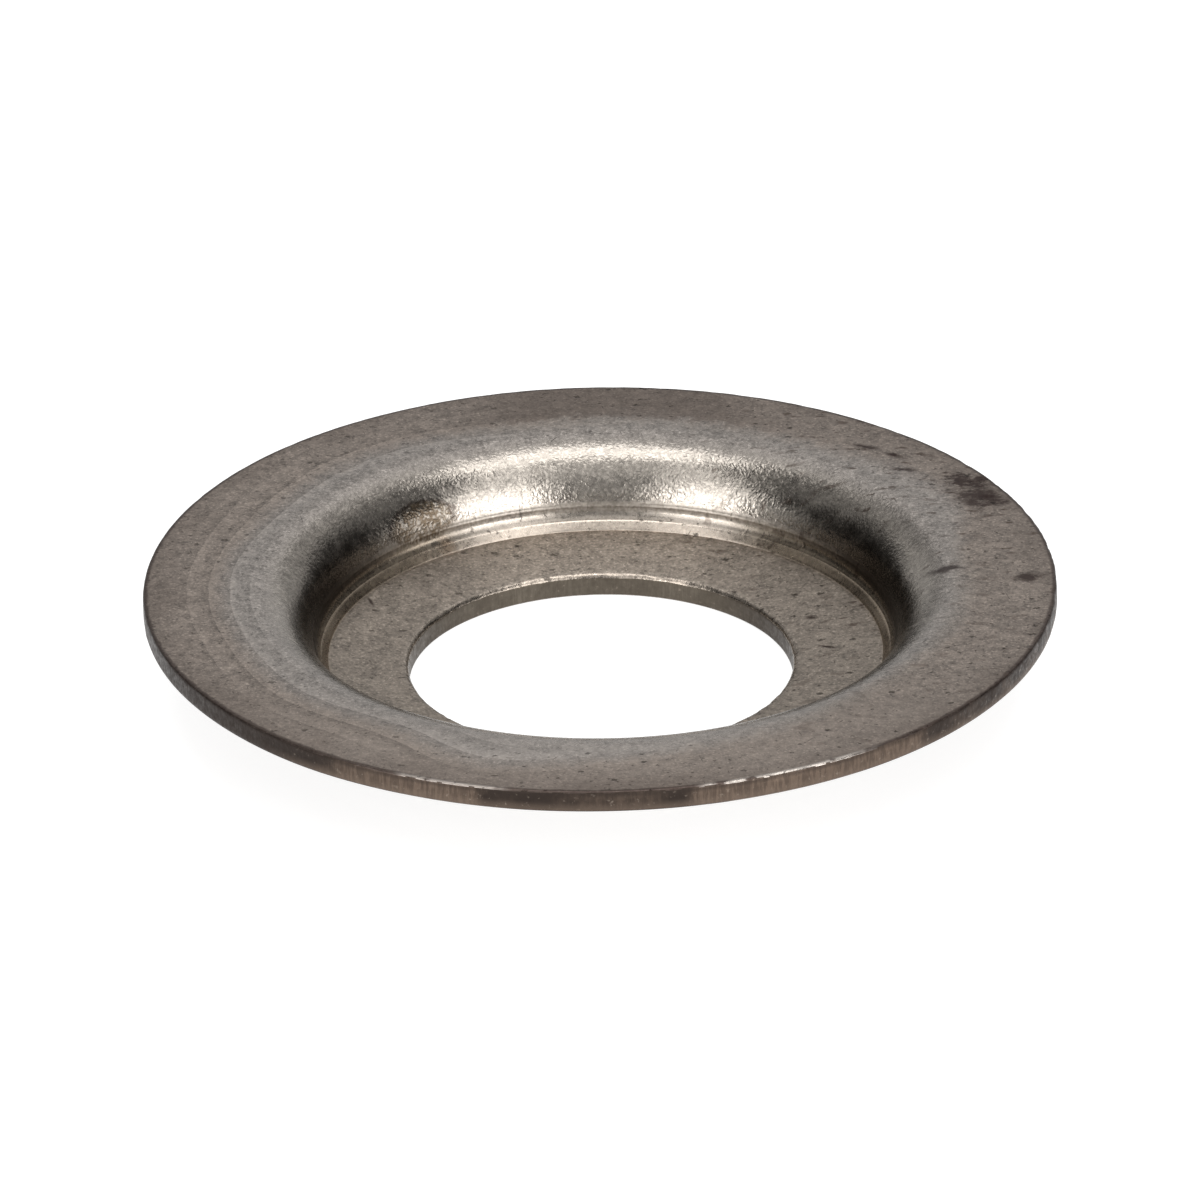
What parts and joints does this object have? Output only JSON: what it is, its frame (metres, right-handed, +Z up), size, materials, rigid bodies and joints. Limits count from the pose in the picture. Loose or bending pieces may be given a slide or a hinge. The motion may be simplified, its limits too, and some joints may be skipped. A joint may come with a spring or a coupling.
{
  "type": "valve spring washer",
  "caption": "Dished round washer pressed from sheet steel, with a flat outer flange, a rounded shoulder and a punched centre hole, used to seat and centre a valve spring.",
  "frame": {"origin": "centre of the hole at the underside of the base, which is the lowest face", "axes": "+Z up along the hole's axis, from the base towards the flange; X and Y are alike because the washer is round"},
  "size_m": [0.038, 0.038, 0.0046],
  "materials": {
    "steel": "raw pressed steel, satin, with light stains and fine pits"
  },
  "bodies": {
    "root": {"washer": "steel"}
  },
  "joints": []
}
